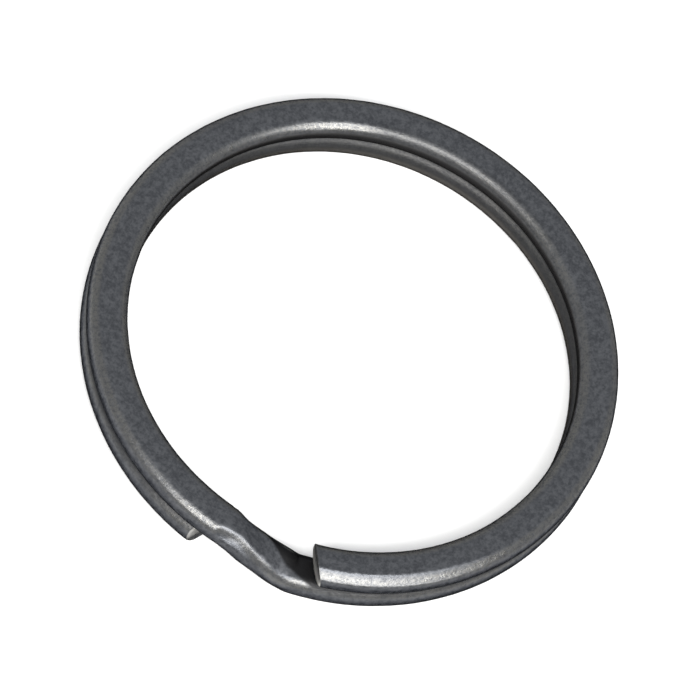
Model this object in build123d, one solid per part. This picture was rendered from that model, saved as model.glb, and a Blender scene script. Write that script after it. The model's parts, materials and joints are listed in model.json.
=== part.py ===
"""Split key ring: one flattened spring-steel wire wound left-handed through two stacked turns.

Frame: millimetres, +Z up, origin on the ring's axis, halfway between the two turns.
The crossover, where the upper turn steps down to become the lower turn, lies on -Y.
Angles are measured about +Z from +X. Half a turn about the Y axis carries the ring onto itself,
so every piece of the lower turn is the matching piece of the upper turn, turned over.

The wire is one length of steel. It is drawn as stretches laid end to end: three that stay still against
each other, and at each end of the wire the half turn that springs away from them as a key is worked in.
"""
import math
import os

from build123d import *

# Ring and wire
OUTER_DIAMETER = 25.0
WIRE_WIDTH = 1.90  # across the wire, measured along the ring's radius
WIRE_HEIGHT = 1.32  # through the wire, measured along the ring's axis
EDGE_RADIUS = 0.60  # round shoulders left by rolling a round wire flat
TURN_GAP = 0.05  # seam between the turns when the ring is closed

# Crossover, where the wire steps down by one turn
CROSSOVER_MIDDLE = 270.0
CROSSOVER_SPAN = 20.0
CROSSOVER_BEND_RADIUS = 1.20  # at the wire's centre line, at the top and foot of the step
CROSSOVER_LEAN = 16.0  # most that pressing the step leans the section over, outer side up after the top
CROSSOVER_LEAN_RISE = 0.22  # share of the step over which the lean sets in

# Cut ends of the wire
END_FROM_MIDDLE = 13.4  # from the crossover's middle to each cut end
END_SLANT = 17.0  # the shears leave the inner corner longer
END_RAKE = 8.0  # and the crown's side longer, so that the cut face looks a little towards the seam
END_EDGE_BREAK = 0.08

# Half turn that springs open, counted back from its cut end
FREE_ARC = 180.0
SLIT = 0.04  # clearance between the half turn and its root

MEAN_RADIUS = (OUTER_DIAMETER - WIRE_WIDTH) / 2
TURN_PITCH = WIRE_HEIGHT + TURN_GAP
UPPER_LEVEL = TURN_PITCH / 2
HALF_SLIT_ARC = math.degrees(SLIT / 2 / MEAN_RADIUS)

UPPER_END = CROSSOVER_MIDDLE + END_FROM_MIDDLE
UPPER_ROOT_START = UPPER_END + FREE_ARC
CROSSOVER_START = CROSSOVER_MIDDLE - CROSSOVER_SPAN / 2
UPPER_ROOT_END = CROSSOVER_START + 360.0


def wire_outline():
    """Section of the wire: flat crown and seam faces, round shoulders, narrow upright sides."""
    return RectangleRounded(WIRE_WIDTH, WIRE_HEIGHT, EDGE_RADIUS)


def wire_arc(start, end):
    """Level stretch of the upper turn between two angles."""
    section = Plane.XZ * Pos(MEAN_RADIUS, UPPER_LEVEL) * wire_outline()
    return Rot(0, 0, start) * revolve(section, Axis.Z, revolution_arc=end - start)


def turned_over(solid):
    """The matching stretch of the lower turn."""
    return solid.rotate(Axis.Y, 180.0)


def step_geometry():
    """Slope of the crossover and the length of its straight part, for a bend-straight-bend step."""
    half_run = math.radians(CROSSOVER_SPAN) * MEAN_RADIUS / 2
    half_drop = TURN_PITCH / 2
    rise = half_drop - CROSSOVER_BEND_RADIUS
    half_straight = math.sqrt(half_run**2 + rise**2 - CROSSOVER_BEND_RADIUS**2)
    slope = math.atan2(rise, half_run) + math.atan2(CROSSOVER_BEND_RADIUS, half_straight)
    return slope, 2 * half_straight


def upper_half_step(share_of_bend, share_of_straight):
    """Run, height and slope of the centre line, from the crossover's start to its middle."""
    slope, straight = step_geometry()
    turned = slope * share_of_bend
    along = straight / 2 * share_of_straight
    run = CROSSOVER_BEND_RADIUS * math.sin(turned) + along * math.cos(slope)
    drop = CROSSOVER_BEND_RADIUS * (1 - math.cos(turned)) + along * math.sin(slope)
    return run, UPPER_LEVEL - drop, turned


def smoothstep(x):
    x = min(max(x, 0.0), 1.0)
    return x * x * (3 - 2 * x)


def lean_across_step(run):
    """Lean of the section: outer side up below the top of the step, and outer side down above its foot."""
    share = run / (math.radians(CROSSOVER_SPAN) * MEAN_RADIUS)
    nearer = min(share, 1 - share)
    rise = smoothstep(nearer / CROSSOVER_LEAN_RISE)
    fall = smoothstep((0.5 - nearer) / (0.5 - CROSSOVER_LEAN_RISE))
    return CROSSOVER_LEAN * rise * fall * (1 if share < 0.5 else -1)


def section_across_step(run, height, slope):
    """Wire section square to the sloping centre line."""
    angle = math.radians(CROSSOVER_START) + run / MEAN_RADIUS
    outward = Vector(math.cos(angle), math.sin(angle), 0)
    level = Vector(-math.sin(angle), math.cos(angle), 0)
    forward = level * math.cos(slope) - Vector(0, 0, math.sin(slope))
    middle = outward * MEAN_RADIUS + Vector(0, 0, height)
    across = Plane(origin=middle, x_dir=outward, z_dir=forward)
    return across * Rot(0, 0, -lean_across_step(run)) * wire_outline()


def crossover_bend():
    """The step from the upper turn down to the lower turn."""
    stations = [(0, 0), (1 / 3, 0), (2 / 3, 0), (1, 0), (1, 1 / 3), (1, 2 / 3)]
    falling = [upper_half_step(*station) for station in stations]
    middle = upper_half_step(1, 1)
    whole_run = math.radians(CROSSOVER_SPAN) * MEAN_RADIUS
    rising = [(whole_run - run, -height, slope) for run, height, slope in reversed(falling)]
    sections = [section_across_step(*place) for place in falling + [middle] + rising]
    return loft(sections)


def free_turn():
    """Springy half turn of the upper turn, its end sheared off at a slant with the sharp edges broken."""
    spare = math.degrees(WIRE_WIDTH / MEAN_RADIUS)
    blank = wire_arc(UPPER_END - spare, UPPER_ROOT_START - HALF_SLIT_ARC)
    angle = math.radians(UPPER_END)
    facing = math.radians(UPPER_END - 90.0 + END_SLANT)
    rake = math.radians(END_RAKE)
    out = Vector(math.cos(angle), math.sin(angle), 0)
    away = Vector(math.cos(facing) * math.cos(rake), math.sin(facing) * math.cos(rake), -math.sin(rake))
    end_middle = out * MEAN_RADIUS + Vector(0, 0, UPPER_LEVEL)
    waste = Plane(origin=end_middle, z_dir=away) * Box(
        3 * WIRE_WIDTH, 3 * WIRE_WIDTH, 2 * WIRE_WIDTH, align=(Align.CENTER, Align.CENTER, Align.MIN)
    )
    turn = blank - waste
    cut_face = turn.faces().sort_by_distance(end_middle)[0]
    return chamfer(cut_face.edges(), END_EDGE_BREAK)


def build():
    """Every stretch of the wire by node name."""
    root_arc = wire_arc(UPPER_ROOT_START + HALF_SLIT_ARC, UPPER_ROOT_END)
    nodes = {
        "crossover_bend": crossover_bend(),
        "upper_root_arc": root_arc,
        "lower_root_arc": turned_over(root_arc),
    }
    turn = free_turn()
    nodes["upper_free_turn"] = turn
    nodes["lower_free_turn"] = turned_over(turn)
    return nodes


os.makedirs("parts", exist_ok=True)
for name, solid in build().items():
    solid.label = name
    export_step(solid, f"parts/{name}.step")
    print(f"{name}: {solid.volume:.3f} mm3")
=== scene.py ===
"""Looks of the split key ring: one flattened, blackened steel wire wound through two stacked turns.

Metres, in the row frame: +Z up, the origin on the ring's axis halfway between the turns, the crossover on -Y.
The wire is described once, by an angle tau along it that runs from the upper cut end (0) down through the
crossover to the lower cut end, and is then cut into the pieces that ride on the bodies and those between
them, which stay where they are drawn.
Points of its section are given as (outward, up) from its centre line.
"""
import json
import math

import bpy
import numpy as np
from mathutils import Matrix, Vector

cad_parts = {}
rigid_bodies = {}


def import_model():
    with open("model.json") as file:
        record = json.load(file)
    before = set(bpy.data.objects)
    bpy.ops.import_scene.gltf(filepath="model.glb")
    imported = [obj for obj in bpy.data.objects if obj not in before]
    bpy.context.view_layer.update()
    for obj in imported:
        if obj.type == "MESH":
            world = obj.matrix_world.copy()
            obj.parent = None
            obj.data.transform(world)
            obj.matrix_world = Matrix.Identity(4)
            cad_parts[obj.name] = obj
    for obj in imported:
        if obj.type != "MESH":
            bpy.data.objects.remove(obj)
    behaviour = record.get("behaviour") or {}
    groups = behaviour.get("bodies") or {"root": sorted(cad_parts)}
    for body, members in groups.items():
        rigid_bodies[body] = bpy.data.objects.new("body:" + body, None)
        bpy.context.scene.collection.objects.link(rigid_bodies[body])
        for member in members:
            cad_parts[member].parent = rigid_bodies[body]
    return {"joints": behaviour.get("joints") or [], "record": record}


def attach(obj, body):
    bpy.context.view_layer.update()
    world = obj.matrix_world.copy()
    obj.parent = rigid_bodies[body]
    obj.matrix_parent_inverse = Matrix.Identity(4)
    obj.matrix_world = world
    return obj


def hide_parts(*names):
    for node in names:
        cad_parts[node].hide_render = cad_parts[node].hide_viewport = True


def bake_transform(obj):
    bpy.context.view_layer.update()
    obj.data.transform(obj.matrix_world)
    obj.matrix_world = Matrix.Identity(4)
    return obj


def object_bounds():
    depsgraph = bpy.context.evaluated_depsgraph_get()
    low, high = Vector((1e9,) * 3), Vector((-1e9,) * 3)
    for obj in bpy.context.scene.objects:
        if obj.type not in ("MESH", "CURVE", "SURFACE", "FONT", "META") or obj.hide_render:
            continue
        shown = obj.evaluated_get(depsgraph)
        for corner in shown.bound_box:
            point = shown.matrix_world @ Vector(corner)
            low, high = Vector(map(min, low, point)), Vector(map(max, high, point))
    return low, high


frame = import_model()
cad_low, cad_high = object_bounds()

MM = 0.001

# Sizes read from the frame
MOUNTS = {mount["name"]: mount for mount in frame["record"]["mounts"]}
JOINTS = {joint["name"]: joint for joint in frame["joints"]}
UPPER_HINGE = JOINTS["upper_turn_opening"]["pos_m"]
OUTER_RADIUS = cad_high.y
BORE_RADIUS = MOUNTS["bore"]["dims"]["r_mm"] * MM
WIRE_WIDTH = OUTER_RADIUS - BORE_RADIUS
MEAN_RADIUS = (OUTER_RADIUS + BORE_RADIUS) / 2
UPPER_LEVEL = UPPER_HINGE[2]
WIRE_HEIGHT = 2 * (cad_high.z - UPPER_LEVEL)
FREE_ARC = 180.0  # each hinge stands opposite its cut end
UPPER_END = math.degrees(math.atan2(UPPER_HINGE[1], UPPER_HINGE[0])) + FREE_ARC
FLOOR_LEVEL = cad_low.z

# Sizes of the wire form that no box or joint gives
EDGE_RADIUS = 0.60 * MM
CROWN_RISE = 0.035 * MM  # the flat crown is a little domed
CROSSOVER_MIDDLE = 270.0  # degrees about +Z from +X
CROSSOVER_SPAN = 20.0
CROSSOVER_BEND_RADIUS = 1.20 * MM
CROSSOVER_LEAN = math.radians(16.0)  # most that pressing the step leans the section over
CROSSOVER_LEAN_RISE = 0.22  # share of the step over which the lean sets in
END_SLANT = math.radians(17.0)  # the shears leave the inner corner longer
END_RAKE = math.radians(8.0)  # and the crown's side longer
END_EDGE_BREAK = 0.07 * MM

# Angle along the wire, in degrees
END_FROM_MIDDLE = UPPER_END - CROSSOVER_MIDDLE
STEP_START = 360.0 - END_FROM_MIDDLE - CROSSOVER_SPAN / 2
WHOLE_WIRE = 2 * STEP_START + CROSSOVER_SPAN
BENDING_ARC = 90.0  # part of each free half turn, next to its root, that is drawn as a piece of its own
BEND_MARGIN = 7.0  # two centre-line points are taken this far inside the ends of each bending stretch; nothing uses them

# Relief of the skin: height, size of a cell along the wire, cells around it, seed
ROLLED_WAVES = (0.006 * MM, 5.0 * MM, 5, 11)
SOFT_DENTS = (0.0045 * MM, 1.1 * MM, 9, 12)
NICKS = (0.007 * MM, 0.34 * MM, 18, 13)
GRAIN = (0.0030 * MM, 0.17 * MM, 36, 14)
NICK_THRESHOLD = 0.35
PRESSED_WITHIN = 1.56 * MM  # pressing the step irons the relief out this far from the step's middle
PRESSED_FADE = 2.6 * MM  # and less and less over this length
PRESSED_CALM = 0.90  # share of the relief that it takes away

# Flats worn on the shoulders, by their depth
WORN_FLAT_LIE = math.radians(57.0)  # how steeply the flats face upwards
WORN_OUTSIDE = 0.014 * MM
WORN_NEAR_END = 0.074 * MM  # added up to WORN_END_LENGTH from a cut end, gone at twice that
WORN_END_LENGTH = 5.0 * MM
WORN_INSIDE = 0.004 * MM
WORN_OPPOSITE = 0.030 * MM  # added inside, about the angle from the cut end named next
OPPOSITE_ANGLE = 193.0
OPPOSITE_SPREAD = 13.0
WORN_BEFORE_STEP = 0.024 * MM  # added outside over the stretch named next
BEFORE_STEP = (286.0, 300.0, 334.0, 339.0)  # angles where it starts, is full, begins to fade and is gone

# Flat pressed on the outer side of the step
PRESS_FLAT_LIE = math.radians(40.0)
PRESS_ON_TOP = (0.04, 0.15 * MM)  # share of the step over which the flat sets in, and its depth
PRESS_UNDERNEATH = (0.40, 0.09 * MM)
PRESS_FADE = (0.15, 0.60)  # share of the step where the flat begins to fade, and over which it does
PRESS_ROUNDING = 0.07 * MM
PRESS_EDGE = 0.3  # below this share of the flat's reach the rounding fades too, and leaves no dent of its own
CREASE = (0.018 * MM, 0.01, 0.022)  # depth, place and width, as shares of the step

# Sheared face
CUT_LEAN_LENGTH = 1.6 * MM  # length over which the rings turn from square to the slant of the cut
EDGE_BREAK_RINGS = ((0.35, 0.35), (1.0, 0.95))  # how far in and how far ahead, as shares of END_EDGE_BREAK
FACE_RINGS = np.linspace(0.80, 0.12, 8)  # their sizes, as shares of the section's
TORN_WITHIN = 0.9  # share of the section inside which the face is torn
CUT_GRAIN = 0.004 * MM
CUT_HOLLOW = 0.05 * MM  # how far the crown's side of the face is torn back
CUT_HOLLOW_START = -0.1  # height where that begins, as a share of half the wire's height
CUT_HOLLOW_SPREAD = 0.7
CUT_SEED = 21

# Mesh density
RING_SPACING = 0.085 * MM
POINTS_AROUND = 72
OUTLINE_STEPS = 2400  # finer steps, only to measure the outline's length

# Colours of the steel
SKIN_DARK = (0.060, 0.063, 0.070, 1)
SKIN_LIGHT = (0.108, 0.112, 0.121, 1)
WORN_STEEL = (0.130, 0.128, 0.122, 1)
WARM_INSIDE = (0.098, 0.092, 0.083, 1)
# FULL_BLACK is painted shade in the seam's groove and by the step, on the upper turn's inner wall and a
# little on the outer side; it also darkens the duller inner shoulders
FULL_BLACK = (0.020, 0.020, 0.021, 1)
SHEARED_STEEL = (0.66, 0.65, 0.62, 1)
EDGE_REFLECTION = (0.06, 0.06, 0.07, 1)

# Noises of the steel: scale, detail and roughness, and for two of them the stretch along and across the wire
MOTTLE = (4.0, 4.0, 0.6)
FLECK = (8.5, 4.0, 0.65)
STREAK = (1.0, 3.0, 0.6)
STREAK_STRETCH = (0.35, 16.0)
PATCH = (1.0, 2.0, 0.5)
PATCH_STRETCH = (0.22, 0.6)

# Masks of the steel, by a place on the wire in mm or by a noise: where each starts and where it is full,
# then its two values there if they are not 0 and 1
SHADE_RANGE = (0.36, 0.64)
SHOULDER_OUTWARD = (0.42, 0.66)
SHOULDER_UP = (0.24, 0.46)
FLECKED_WEAR = (0.34, 0.60, 0.30, 1.0)
PATCHY_WEAR = (0.30, 0.65, 0.55, 1.0)
OUTER_WALL = (0.78, 0.93)
INNER_WALL = (-0.78, -0.93)
UPRIGHT = (0.42, 0.15)
UPPER_TURN = (1.0, -1.0)
SEAM_PAST_STEP = (1.05, 1.45)
SEAM_FACE = (0.40, 0.56)
SEAM_FADE = (4.0, 10.0, 1.0, 0.74)
SEAM_SLANT = 2.0  # the painted shade starts later towards the outside, by this many mm per mm
INNER_SHOULDER = (-0.25, -0.50)
TOP_HALF = (0.0, 0.25)
DULL_START = (24.0, 30.0)
DULL_FINISH = (39.0, 36.2)
DULL_LOWER_TURN = (8.0, 16.0, 0.0, 1.6)
CUT_SEAMWARD = (-0.35, 0.15, 0.25, 0.90)
CUT_LOWER_END = (-1.0, 1.0, 1.0, 0.48)

# How much the noises and masks change the colour, the roughness and the relief
MOTTLE_SHADE = 0.55
FLECK_SHADE = 0.45
# painted shade: share of black laid on the outer side, and on the upper turn's inner wall
OUTER_WALL_PAINTED_SHADE = 0.25
UPPER_INNER_WALL_PAINTED_SHADE = 0.85
INNER_WALL_WARMTH = 0.75
DULLED_BLACK = 0.42
BASE_ROUGHNESS = 0.37
MOTTLED_ROUGHNESS = 0.20
WORN_ROUGHNESS = -0.11
# roughness added where shade is painted
PAINTED_SHADE_ROUGHNESS = 0.12
DULLED_ROUGHNESS = 0.07
SHEARED_ROUGHNESS = 0.10
STREAK_RELIEF = 0.25
BUMP_HEIGHT = 0.013 * MM

# Camera, light and floor
VIEW_AZIMUTH = -3.3
VIEW_ELEVATION = 60.4
VIEW_ROLL = math.radians(28.4)
VIEW_DISTANCE = 0.513
VIEW_CLIP = (0.01, 20.0)
RING_SHARE_OF_FRAME = 0.78
SENSOR_WIDTH = 36.0
TENT_COLOR = (0.98, 0.99, 1.0, 1)
TENT_STRENGTH = 0.92
KEY_FROM_CAMERA = 21  # degrees to the right of the camera
KEY_ELEVATION = 54
KEY_DISTANCE = 0.8
KEY_SIZE = (1.0, 0.26)
KEY_RADIANCE = 14.0
KEY_COLOR = (1.0, 0.99, 0.97)
FLOOR_RADIUS = 3.0
FLOOR_SIDES = 96
FLOOR_COLOR = (0.90, 0.90, 0.90, 1)
FLOOR_ROUGHNESS = 0.85
FLOOR_SPECULAR = 0.2


# ------------------------------------------------------------------ small tools

def smooth(x):
    """Smoothstep of x clipped to 0..1."""
    x = np.clip(x, 0.0, 1.0)
    return x * x * (3 - 2 * x)


def metres_along(tau):
    """Length along the wire's centre line."""
    return np.radians(tau) * MEAN_RADIUS


def lattice_noise(along, around, cell_along, cells_around, seed):
    """Smooth noise, about -1 to 1, on the wire's skin.

    along is in metres and around in turns; the noise closes around the wire.
    """
    spare = 3  # cells before the wire starts, and a few more after it ends
    count = int(metres_along(WHOLE_WIRE) / cell_along) + 2 * spare + 2
    grid = np.random.default_rng(seed).uniform(-1, 1, (count, cells_around))
    u = along / cell_along + spare
    v = (around % 1.0) * cells_around
    iu, iv = np.floor(u).astype(int), np.floor(v).astype(int)
    fu, fv = smooth(u - iu), smooth(v - iv)
    near, far = iv % cells_around, (iv + 1) % cells_around
    low = grid[iu, near] * (1 - fv) + grid[iu, far] * fv
    high = grid[iu + 1, near] * (1 - fv) + grid[iu + 1, far] * fv
    return low * (1 - fu) + high * fu


# ------------------------------------------------------------------ the wire's shape

def wire_outline(count):
    """Section of the wire: points (outward, up), anticlockwise from the outer side, evenly spaced."""
    half_width, half_height = WIRE_WIDTH / 2 - EDGE_RADIUS, WIRE_HEIGHT / 2 - EDGE_RADIUS
    angles = np.linspace(0, 2 * np.pi, OUTLINE_STEPS, endpoint=False)
    corner_x = np.where(np.cos(angles) >= 0, half_width, -half_width)
    corner_y = np.where(np.sin(angles) >= 0, half_height, -half_height)
    x = corner_x + EDGE_RADIUS * np.cos(angles)
    y = corner_y + EDGE_RADIUS * np.sin(angles)
    x, y = np.append(x, x[0]), np.append(y, y[0])
    length = np.concatenate([[0], np.cumsum(np.hypot(np.diff(x), np.diff(y)))])
    place = np.linspace(0, length[-1], count, endpoint=False)
    x, y = np.interp(place, length, x), np.interp(place, length, y)
    y -= np.sign(y) * CROWN_RISE * (x / (WIRE_WIDTH / 2)) ** 2 * smooth(np.abs(y) / (WIRE_HEIGHT / 2))
    return x, y


def step_profile(tau):
    """Height and slope of the centre line at tau, with the crossover's bend-straight-bend step."""
    half_run = metres_along(CROSSOVER_SPAN) / 2
    rise = UPPER_LEVEL - CROSSOVER_BEND_RADIUS
    half_straight = math.sqrt(half_run**2 + rise**2 - CROSSOVER_BEND_RADIUS**2)
    slope = math.atan2(rise, half_run) + math.atan2(CROSSOVER_BEND_RADIUS, half_straight)
    run = np.clip(metres_along(np.asarray(tau) - STEP_START), 0, 2 * half_run)
    before = np.minimum(run, 2 * half_run - run)
    turned = np.arcsin(np.clip(before / CROSSOVER_BEND_RADIUS, 0, math.sin(slope)))
    drop = CROSSOVER_BEND_RADIUS * (1 - np.cos(turned))
    drop += np.maximum(before - CROSSOVER_BEND_RADIUS * math.sin(slope), 0) * math.tan(slope)
    height = np.where(run <= half_run, UPPER_LEVEL - drop, drop - UPPER_LEVEL)
    return height, turned


def step_lean(tau):
    """Lean of the section: outer side up below the top of the step, and outer side down above its foot."""
    share = np.clip((np.asarray(tau) - STEP_START) / CROSSOVER_SPAN, 0, 1)
    nearer = np.minimum(share, 1 - share)
    rise = smooth(nearer / CROSSOVER_LEAN_RISE)
    fall = smooth((0.5 - nearer) / (0.5 - CROSSOVER_LEAN_RISE))
    return CROSSOVER_LEAN * rise * fall * np.where(share < 0.5, 1, -1)


def place_on_wire(tau, outward, up):
    """Points in the row frame for points of the section at tau."""
    height, slope = step_profile(tau)
    lean = step_lean(tau)
    outward, up = (outward * np.cos(lean) - up * np.sin(lean), outward * np.sin(lean) + up * np.cos(lean))
    angle = np.radians(UPPER_END + tau)
    zero = np.zeros_like(angle)
    level = np.stack([-np.sin(angle), np.cos(angle), zero], -1)
    radial = np.stack([np.cos(angle), np.sin(angle), zero], -1)
    upright = np.array([0, 0, 1.0])
    normal = upright * np.cos(slope)[..., None] + level * np.sin(slope)[..., None]
    centre = radial * MEAN_RADIUS + upright * height[..., None]
    return centre + radial * outward[..., None] + normal * up[..., None]


def end_nearness(tau):
    """Distance to the nearer cut end, in metres, and +1 for the upper end or -1 for the lower end."""
    upper = metres_along(tau)
    lower = metres_along(WHOLE_WIRE - tau)
    return np.minimum(upper, lower), np.where(upper < lower, 1.0, -1.0)


def flat_depth(outward, up, facing, lie, depth, rounding=0.0):
    """How far the section stands out past a flat laid on its shoulder.

    facing is +1 for the outer shoulder and -1 for the inner one; lie is how steeply the flat faces upwards.
    """
    lie_out, lie_up = facing * math.cos(lie), math.sin(lie)
    corner = WIRE_WIDTH / 2 - EDGE_RADIUS, WIRE_HEIGHT / 2 - EDGE_RADIUS
    crest = corner[0] * abs(lie_out) + corner[1] * lie_up + EDGE_RADIUS
    past = outward * lie_out + up * lie_up - crest + depth
    return (past + np.sqrt(past**2 + rounding**2)) / 2  # the larger of past and 0, with a rounded corner


def worn_flat(tau, outward, up):
    """How much of the shoulders is worn to a flat.

    Outside it is worn most near the cut ends and before the step, and inside opposite the cut ends.
    """
    gap, side = end_nearness(tau)
    near_end = 1 - smooth((gap - WORN_END_LENGTH) / WORN_END_LENGTH)
    from_end = np.where(side > 0, tau, WHOLE_WIRE - tau)
    opposite = np.exp(-((np.abs(from_end - OPPOSITE_ANGLE) / OPPOSITE_SPREAD) ** 4))
    start, full, fading, gone = BEFORE_STEP
    before_step = smooth((tau - start) / (full - start)) * (1 - smooth((tau - fading) / (gone - fading)))
    outer = flat_depth(outward, up * side, 1.0, WORN_FLAT_LIE, WORN_OUTSIDE + WORN_NEAR_END * near_end)
    inner = flat_depth(outward, up * side, -1.0, WORN_FLAT_LIE, WORN_INSIDE + WORN_OPPOSITE * opposite)
    above = flat_depth(outward, up, 1.0, WORN_FLAT_LIE, WORN_BEFORE_STEP * before_step)
    return outer + inner + above


def press_flat(tau, outward, up):
    """Flat pressed on the outer side of the step, with the crease that the tool leaves.

    It is sharp where the step starts and runs out past its middle; under the foot of the step it is softer.
    """
    share = (tau - STEP_START) / CROSSOVER_SPAN
    total = 0
    for along, high, (onset, depth) in ((share, up, PRESS_ON_TOP), (1 - share, -up, PRESS_UNDERNEATH)):
        reach = smooth(along / onset) * (1 - smooth((along - PRESS_FADE[0]) / PRESS_FADE[1]))
        flat = flat_depth(outward, high, 1.0, PRESS_FLAT_LIE, depth * reach, PRESS_ROUNDING)
        total = total + flat * smooth(reach / PRESS_EDGE)
    crease_depth, crease_place, crease_width = CREASE
    return total + crease_depth * np.exp(-(((share - crease_place) / crease_width) ** 2)) * (up > 0)


def skin(tau, around, outward, up):
    """How far the real skin stands off the clean section: rolled waves, tumbling dents, nicks and wear."""
    along = metres_along(tau)
    wave, soft, nicks, grain = (
        lattice_noise(along, around, *layer[1:]) for layer in (ROLLED_WAVES, SOFT_DENTS, NICKS, GRAIN)
    )
    nicks = -NICKS[0] * np.clip(nicks - NICK_THRESHOLD, 0, 1)
    from_middle = np.abs(along - metres_along(WHOLE_WIRE) / 2)
    pressed = 1 - smooth((from_middle - PRESSED_WITHIN) / PRESSED_FADE)
    fine = SOFT_DENTS[0] * soft + nicks + GRAIN[0] * grain
    relief = ROLLED_WAVES[0] * wave + fine * (1 - PRESSED_CALM * pressed)
    return relief - worn_flat(tau, outward, up) - press_flat(tau, outward, up)


def shear_depth(outward, up, side):
    """How far into the wire the slanting, raked cut stands at points of the section."""
    return outward * math.tan(END_SLANT) - up * side * math.tan(END_RAKE) / math.cos(END_SLANT)


# ------------------------------------------------------------------ meshes

def wire_rings(tau):
    """Rings of skin points for the angles tau, and their wire coordinates (along, outward, up) in mm."""
    outward, up = wire_outline(POINTS_AROUND)
    turn = np.arange(POINTS_AROUND) / POINTS_AROUND
    tau, turn, outward, up = np.broadcast_arrays(tau[:, None], turn, outward, up)
    step_out = np.roll(outward, -1, 1) - np.roll(outward, 1, 1)
    step_up = np.roll(up, -1, 1) - np.roll(up, 1, 1)
    size = np.hypot(step_out, step_up)
    lift = skin(tau, turn, outward, up)
    outward, up = outward + step_up / size * lift, up - step_out / size * lift
    # near a cut end the rings lean over to the slant of the shears, further the nearer they are
    gap, side = end_nearness(tau)
    lean = (1 - smooth(gap / CUT_LEAN_LENGTH)) * side
    leaned = tau + np.degrees(shear_depth(outward, up, side) * lean / MEAN_RADIUS)
    coordinates = np.stack([metres_along(leaned), outward, up], -1) / MM
    return place_on_wire(leaned, outward, up), coordinates


def flat_cap(ring, wire):
    """Hidden flat end: one centre point."""
    return [ring.mean(0, keepdims=True)], [wire.mean(0, keepdims=True)]


def cut_cap(tau, seed):
    """Sheared face of a cut end: broken edge, then shrinking rings to the middle, with the torn grain."""
    outward, up = wire_outline(POINTS_AROUND)
    side = 1.0 if tau < WHOLE_WIRE / 2 else -1.0
    rng = np.random.default_rng(seed)
    rings, wires = [], []
    half_height = WIRE_HEIGHT / 2
    places = [(1 - END_EDGE_BREAK * inset / half_height, advance) for inset, advance in EDGE_BREAK_RINGS]
    places += [(size, 1.0) for size in FACE_RINGS]
    for size, advance in places:
        out, high = outward * size, up * size
        torn = rng.normal(0, CUT_GRAIN, POINTS_AROUND)
        torn -= CUT_HOLLOW * smooth((high * side / half_height - CUT_HOLLOW_START) / CUT_HOLLOW_SPREAD)
        ahead = END_EDGE_BREAK * advance + torn * (size < TORN_WITHIN)
        leaned = tau - side * np.degrees(ahead / MEAN_RADIUS)
        leaned += np.degrees(shear_depth(out, high, side) * side / MEAN_RADIUS)
        rings.append(place_on_wire(leaned, out, high))
        wires.append(np.stack([metres_along(leaned), out, high], -1) / MM)
    rings.append(rings[-1].mean(0, keepdims=True))
    wires.append(wires[-1].mean(0, keepdims=True))
    return rings, wires


def build_mesh(name, rings, coordinates, caps):
    """Closed mesh of a stack of rings.

    Each of the two caps holds the extra rings that close that end, the last of them a single point.
    """
    count, around = rings.shape[:2]
    vertices = [rings.reshape(-1, 3)]
    wires = [coordinates.reshape(-1, 3)]
    index = np.arange(count * around).reshape(count, around)
    turned = np.roll(index, -1, 1)
    quads = np.stack([index[:-1], turned[:-1], turned[1:], index[1:]], -1).reshape(-1, 4)
    faces = [tuple(quad) for quad in quads[:, ::-1].tolist()]
    total = count * around

    for rim, (cap_rings, cap_wires), outwards in ((index[0], caps[0], True), (index[-1], caps[1], False)):
        order = 1 if outwards else -1
        for ring, ring_wire in zip(cap_rings[:-1], cap_wires[:-1]):
            vertices.append(ring)
            wires.append(ring_wire)
            fresh = np.arange(total, total + around)
            total += around
            strip = np.stack([rim, np.roll(rim, -1), np.roll(fresh, -1), fresh], -1)
            faces.extend(map(tuple, strip[:, ::order].tolist()))
            rim = fresh
        vertices.append(cap_rings[-1])
        wires.append(cap_wires[-1])
        fan = np.stack([rim, np.roll(rim, -1), np.full(around, total)], -1)
        faces.extend(map(tuple, fan[:, ::order].tolist()))
        total += 1

    mesh = bpy.data.meshes.new(name)
    mesh.from_pydata(np.concatenate(vertices).tolist(), [], faces)
    mesh.update()
    mesh.polygons.foreach_set("use_smooth", np.ones(len(faces), bool))
    fresh_cut = mesh.attributes.new("fresh_cut", "FLOAT", "POINT")
    fresh_cut.data.foreach_set("value", np.arange(total) >= count * around)
    wire = mesh.attributes.new("wire", "FLOAT_VECTOR", "POINT")
    wire.data.foreach_set("vector", np.concatenate(wires).astype(np.float32).ravel())
    sharpen_rims(mesh, (index[0], index[-1]))
    return mesh


def sharpen_rims(mesh, rims):
    """Mark the edges around both ends as sharp."""
    flags = np.zeros(len(mesh.edges), bool)
    pairs = np.empty(len(mesh.edges) * 2, int)
    mesh.edges.foreach_get("vertices", pairs)
    for rim in rims:
        flags |= np.isin(pairs, rim).reshape(-1, 2).all(1)
    mesh.attributes.new("sharp_edge", "BOOLEAN", "EDGE").data.foreach_set("value", flags)


def wire_piece(name, start, end, material):
    """One closed piece of the wire between two angles along it."""
    steps = max(2, round(metres_along(end - start) / RING_SPACING))
    rings, coordinates = wire_rings(np.linspace(start, end, steps + 1))
    caps = []
    for at, place in ((start, 0), (end, -1)):
        if at <= 0 or at >= WHOLE_WIRE:
            caps.append(cut_cap(at, CUT_SEED + place))
        else:
            caps.append(flat_cap(rings[place], coordinates[place]))
    mesh = build_mesh(name, rings, coordinates, caps)
    piece = bpy.data.objects.new(name, mesh)
    bpy.context.scene.collection.objects.link(piece)
    mesh.materials.append(material)
    return piece


# ------------------------------------------------------------------ material

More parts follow.
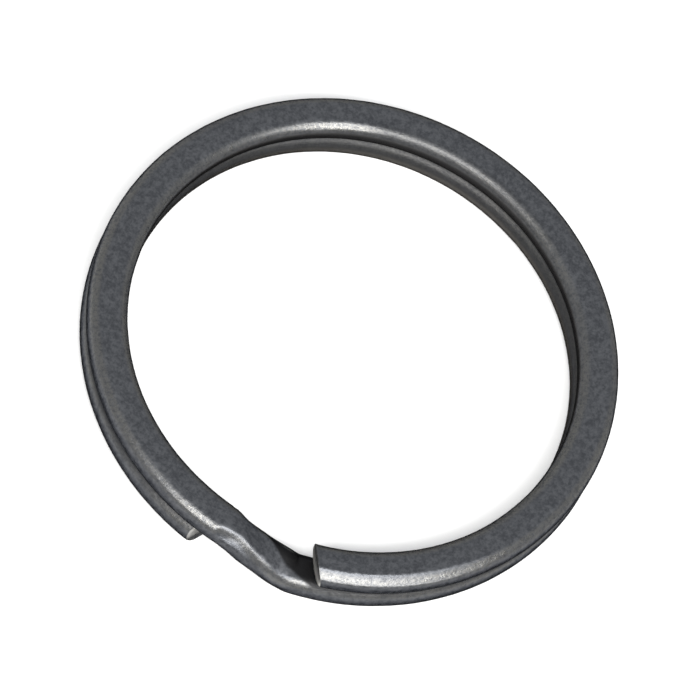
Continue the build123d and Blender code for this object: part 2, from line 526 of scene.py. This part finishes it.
class Graph:
    """Short ways to add the shader nodes of a material."""

    def __init__(self, material):
        material.use_nodes = True
        self.nodes, self.links = material.node_tree.nodes, material.node_tree.links
        self.nodes.clear()

    def node(self, kind, **values):
        made = self.nodes.new(kind)
        for key, value in values.items():
            setattr(made, key, value)
        return made

    def feed(self, socket, value):
        """Link an output into a socket, or set the socket to a number or colour."""
        if isinstance(value, bpy.types.NodeSocket):
            self.links.new(value, socket)
        else:
            socket.default_value = value

    def math(self, operation, first, second=0.0):
        made = self.node("ShaderNodeMath", operation=operation)
        self.feed(made.inputs[0], first)
        self.feed(made.inputs[1], second)
        return made.outputs[0]

    def multiply(self, first, *others):
        for other in others:
            first = self.math("MULTIPLY", first, other)
        return first

    def noise(self, vector, scale, detail, rough):
        made = self.node("ShaderNodeTexNoise")
        made.inputs["Scale"].default_value = scale
        made.inputs["Detail"].default_value = detail
        made.inputs["Roughness"].default_value = rough
        self.links.new(vector, made.inputs["Vector"])
        return made.outputs["Fac"]

    def stretch(self, vector, along, across):
        made = self.node("ShaderNodeVectorMath", operation="MULTIPLY")
        made.inputs[1].default_value = (along, across, across)
        self.links.new(vector, made.inputs[0])
        return made.outputs[0]

    def remap(self, value, low, high, to_low=0.0, to_high=1.0):
        """Smoothstep from to_low where value is low to to_high where it is high."""
        made = self.node("ShaderNodeMapRange", interpolation_type="SMOOTHSTEP")
        self.links.new(value, made.inputs["Value"])
        for socket, number in zip(list(made.inputs)[1:5], (low, high, to_low, to_high)):
            socket.default_value = number
        return made.outputs["Result"]

    def mix(self, first, second, factor):
        made = self.node("ShaderNodeMix", data_type="RGBA")
        for name, value in (("A", first), ("B", second), ("Factor", factor)):
            self.feed(made.inputs[name], value)
        return made.outputs["Result"]


def worn_share(graph, outward_size, up_size, fleck, patch):
    """Where the shoulders are worn: far from the middle of the crown and of the sides at once, and patchy."""
    shoulder = graph.remap(outward_size, *SHOULDER_OUTWARD), graph.remap(up_size, *SHOULDER_UP)
    return graph.multiply(*shoulder, graph.remap(fleck, *FLECKED_WEAR), graph.remap(patch, *PATCHY_WEAR))


def seam_painted_shade(graph, from_middle, outward, up, up_size):
    """Painted shade on the faces where the turns lie on each other and in the groove between them, from just
    past the step, blackest next to it, where it stands for the dark pocket under the upper cut end.
    """
    past_step = graph.multiply(from_middle, graph.math("SIGN", up))
    past_step = graph.math("SUBTRACT", past_step, graph.multiply(outward, SEAM_SLANT))
    seam_face = graph.multiply(graph.remap(past_step, *SEAM_PAST_STEP), graph.remap(up_size, *SEAM_FACE))
    return graph.multiply(seam_face, graph.remap(past_step, *SEAM_FADE))


def dulled_share(graph, along, from_middle, outward, up):
    """Duller inner shoulders: over a stretch of the upper turn, and on the lower turn past the step."""
    stretch = graph.multiply(graph.remap(along, *DULL_START), graph.remap(along, *DULL_FINISH))
    stretch = graph.math("MAXIMUM", stretch, graph.remap(from_middle, *DULL_LOWER_TURN))
    return graph.multiply(graph.remap(outward, *INNER_SHOULDER), stretch, graph.remap(up, *TOP_HALF))


def sheared_share(graph, from_middle, up):
    """Fresh metal of the cut ends: brightest towards the seam, and duller on the lower end."""
    cut = graph.node("ShaderNodeAttribute", attribute_name="fresh_cut").outputs["Fac"]
    seamward = graph.multiply(graph.math("SIGN", from_middle), up)
    return graph.multiply(cut, graph.remap(seamward, *CUT_SEAMWARD), graph.remap(from_middle, *CUT_LOWER_END))


def blackened_steel():
    """Tumbled, blackened spring steel: mottled dark skin, drawn streaks, shoulders worn brighter, and painted
    shade in the seam and on the walls.

    Its masks are laid out in the wire's own coordinates, in millimetres.
    """
    material = bpy.data.materials.new("blackened_spring_steel")
    graph = Graph(material)
    wire = graph.node("ShaderNodeAttribute", attribute_name="wire").outputs["Vector"]
    parts = graph.node("ShaderNodeSeparateXYZ")
    graph.links.new(wire, parts.inputs[0])
    along, outward, up = parts.outputs
    outward_size, up_size = graph.math("ABSOLUTE", outward), graph.math("ABSOLUTE", up)
    from_middle = graph.math("SUBTRACT", along, metres_along(WHOLE_WIRE) / 2 / MM)

    mottle = graph.noise(wire, *MOTTLE)
    fleck = graph.noise(wire, *FLECK)
    streak = graph.noise(graph.stretch(wire, *STREAK_STRETCH), *STREAK)
    patch = graph.noise(graph.stretch(wire, *PATCH_STRETCH), *PATCH)

    wear = worn_share(graph, outward_size, up_size, fleck, patch)
    cut = sheared_share(graph, from_middle, up)
    dulled = dulled_share(graph, along, from_middle, outward, up)

    # painted shade in black: in the seam, a little on the outer side, and on the upper turn's inner wall
    upright = graph.remap(up_size, *UPRIGHT)
    outer_wall = graph.multiply(graph.remap(outward, *OUTER_WALL), upright)
    inner_wall = graph.multiply(graph.remap(outward, *INNER_WALL), upright)
    upper_inner_wall_shade = graph.multiply(inner_wall, graph.remap(from_middle, *UPPER_TURN), UPPER_INNER_WALL_PAINTED_SHADE)
    seam = seam_painted_shade(graph, from_middle, outward, up, up_size)
    painted_shade = graph.math("MAXIMUM", graph.multiply(outer_wall, OUTER_WALL_PAINTED_SHADE), seam)
    painted_shade = graph.math("MAXIMUM", painted_shade, upper_inner_wall_shade)

    shade = graph.math("ADD", graph.multiply(mottle, MOTTLE_SHADE), graph.multiply(fleck, FLECK_SHADE))
    color = graph.mix(SKIN_DARK, SKIN_LIGHT, graph.remap(shade, *SHADE_RANGE))
    color = graph.mix(color, WORN_STEEL, wear)
    color = graph.mix(color, WARM_INSIDE, graph.multiply(inner_wall, INNER_WALL_WARMTH))
    # the painted shade and the duller inner shoulders are mixed towards black
    blackened = graph.math("MAXIMUM", painted_shade, graph.multiply(dulled, DULLED_BLACK))
    color = graph.mix(color, FULL_BLACK, blackened)
    color = graph.mix(color, SHEARED_STEEL, cut)

    mottled = graph.multiply(graph.math("SUBTRACT", mottle, 0.5), MOTTLED_ROUGHNESS)
    rough = graph.math("ADD", BASE_ROUGHNESS, mottled)
    shares = (wear, painted_shade, dulled, cut)
    changes = (WORN_ROUGHNESS, PAINTED_SHADE_ROUGHNESS, DULLED_ROUGHNESS, SHEARED_ROUGHNESS)
    for share, change in zip(shares, changes):
        rough = graph.math("ADD", rough, graph.multiply(share, change))

    relief = graph.math("ADD", fleck, graph.multiply(streak, STREAK_RELIEF))
    bump = graph.node("ShaderNodeBump")
    bump.inputs["Strength"].default_value = 1.0
    bump.inputs["Distance"].default_value = BUMP_HEIGHT
    graph.links.new(relief, bump.inputs["Height"])

    shader = graph.node("ShaderNodeBsdfPrincipled")
    shader.inputs["Metallic"].default_value = 1.0
    shader.inputs["Specular Tint"].default_value = EDGE_REFLECTION
    graph.links.new(color, shader.inputs["Base Color"])
    graph.links.new(rough, shader.inputs["Roughness"])
    graph.links.new(bump.outputs["Normal"], shader.inputs["Normal"])
    output = graph.node("ShaderNodeOutputMaterial")
    graph.links.new(shader.outputs["BSDF"], output.inputs["Surface"])
    return material


# ------------------------------------------------------------------ the ring

def middle_of_wire(tau):
    """Centre-line point at tau."""
    tau = np.asarray(float(tau))
    return place_on_wire(tau, 0 * tau, 0 * tau)


def from_cut_end(side, arc):
    """Angle along the wire of a place arc degrees from the upper or the lower cut end."""
    return arc if side == "upper" else WHOLE_WIRE - arc


def build_ring(material):
    """The whole wire: crossover and roots, and on each side a stretch next to the root that stays where it is
    drawn, and one that swings.
    """
    for side, end_of_joint, middle_of_joint in (("upper", "child", "parent"), ("lower", "parent", "child")):
        body = JOINTS[f"{side}_turn_opening"][end_of_joint]
        middle = JOINTS[f"{side}_turn_opening"][middle_of_joint]
        bend_end, root = from_cut_end(side, FREE_ARC - BENDING_ARC), from_cut_end(side, FREE_ARC)
        bend = wire_piece(f"{side}_turn_bend", *sorted((bend_end, root)), material)
        blend_start = middle_of_wire(from_cut_end(side, FREE_ARC - BEND_MARGIN))
        blend_end = middle_of_wire(from_cut_end(side, FREE_ARC - BENDING_ARC + BEND_MARGIN))
        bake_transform(bend)
        swing = wire_piece(f"{side}_turn_end", *sorted((from_cut_end(side, 0.0), bend_end)), material)
        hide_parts(body)
        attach(swing, body)
    piece = wire_piece("crossover_and_roots", FREE_ARC, WHOLE_WIRE - FREE_ARC, material)
    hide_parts("crossover_bend", "upper_root_arc", "lower_root_arc")
    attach(piece, middle)


# ------------------------------------------------------------------ floor, light and camera

def build_floor():
    """Large plain pale floor under the ring."""
    mesh = bpy.data.meshes.new("floor")
    angles = [2 * math.pi * k / FLOOR_SIDES for k in range(FLOOR_SIDES)]
    rim = [(FLOOR_RADIUS * math.cos(angle), FLOOR_RADIUS * math.sin(angle), 0) for angle in angles]
    mesh.from_pydata(rim, [], [tuple(range(FLOOR_SIDES))])
    floor = bpy.data.objects.new("floor", mesh)
    floor.location.z = FLOOR_LEVEL
    bpy.context.scene.collection.objects.link(floor)
    material = bpy.data.materials.new("pale_floor")
    material.use_nodes = True
    shader = material.node_tree.nodes["Principled BSDF"]
    shader.inputs["Base Color"].default_value = FLOOR_COLOR
    shader.inputs["Roughness"].default_value = FLOOR_ROUGHNESS
    shader.inputs["Specular IOR Level"].default_value = FLOOR_SPECULAR
    mesh.materials.append(material)


def direction(azimuth, elevation):
    """Unit vector towards a light or camera; azimuth 0 is on -Y, and it grows towards +X."""
    a, e = math.radians(azimuth), math.radians(elevation)
    return Vector((math.sin(a) * math.cos(e), -math.cos(a) * math.cos(e), math.sin(e)))


def build_lights():
    """A white tent, with one long softbox on the camera's side that faces the ring."""
    world = bpy.data.worlds.new("white_tent")
    world.use_nodes = True
    background = world.node_tree.nodes["Background"]
    background.inputs["Color"].default_value = TENT_COLOR
    background.inputs["Strength"].default_value = TENT_STRENGTH
    bpy.context.scene.world = world

    data = bpy.data.lights.new("key", "AREA")
    data.shape = "RECTANGLE"
    data.size, data.size_y = KEY_SIZE
    data.energy = KEY_RADIANCE * math.pi * KEY_SIZE[0] * KEY_SIZE[1]
    data.color = KEY_COLOR
    light = bpy.data.objects.new("key", data)
    light.location = direction(VIEW_AZIMUTH + KEY_FROM_CAMERA, KEY_ELEVATION) * KEY_DISTANCE
    light.rotation_euler = light.location.to_track_quat("Z", "Y").to_euler()
    bpy.context.scene.collection.objects.link(light)


def build_camera():
    """Long lens at the viewing angle, rolled so that the crossover comes to the lower left."""
    data = bpy.data.cameras.new("camera")
    camera = bpy.data.objects.new("camera", data)
    bpy.context.scene.collection.objects.link(camera)
    data.sensor_width = SENSOR_WIDTH
    frame_width = 2 * OUTER_RADIUS / RING_SHARE_OF_FRAME
    data.lens = data.sensor_width * VIEW_DISTANCE / frame_width
    data.clip_start, data.clip_end = VIEW_CLIP
    back = direction(VIEW_AZIMUTH, VIEW_ELEVATION)
    turn = back.to_track_quat("Z", "Y").to_matrix().to_4x4() @ Matrix.Rotation(VIEW_ROLL, 4, "Z")
    camera.matrix_world = Matrix.Translation(back * VIEW_DISTANCE) @ turn
    bpy.context.scene.camera = camera


bpy.context.scene.view_settings.view_transform = "Standard"
build_ring(blackened_steel())
build_floor()
build_lights()
build_camera()
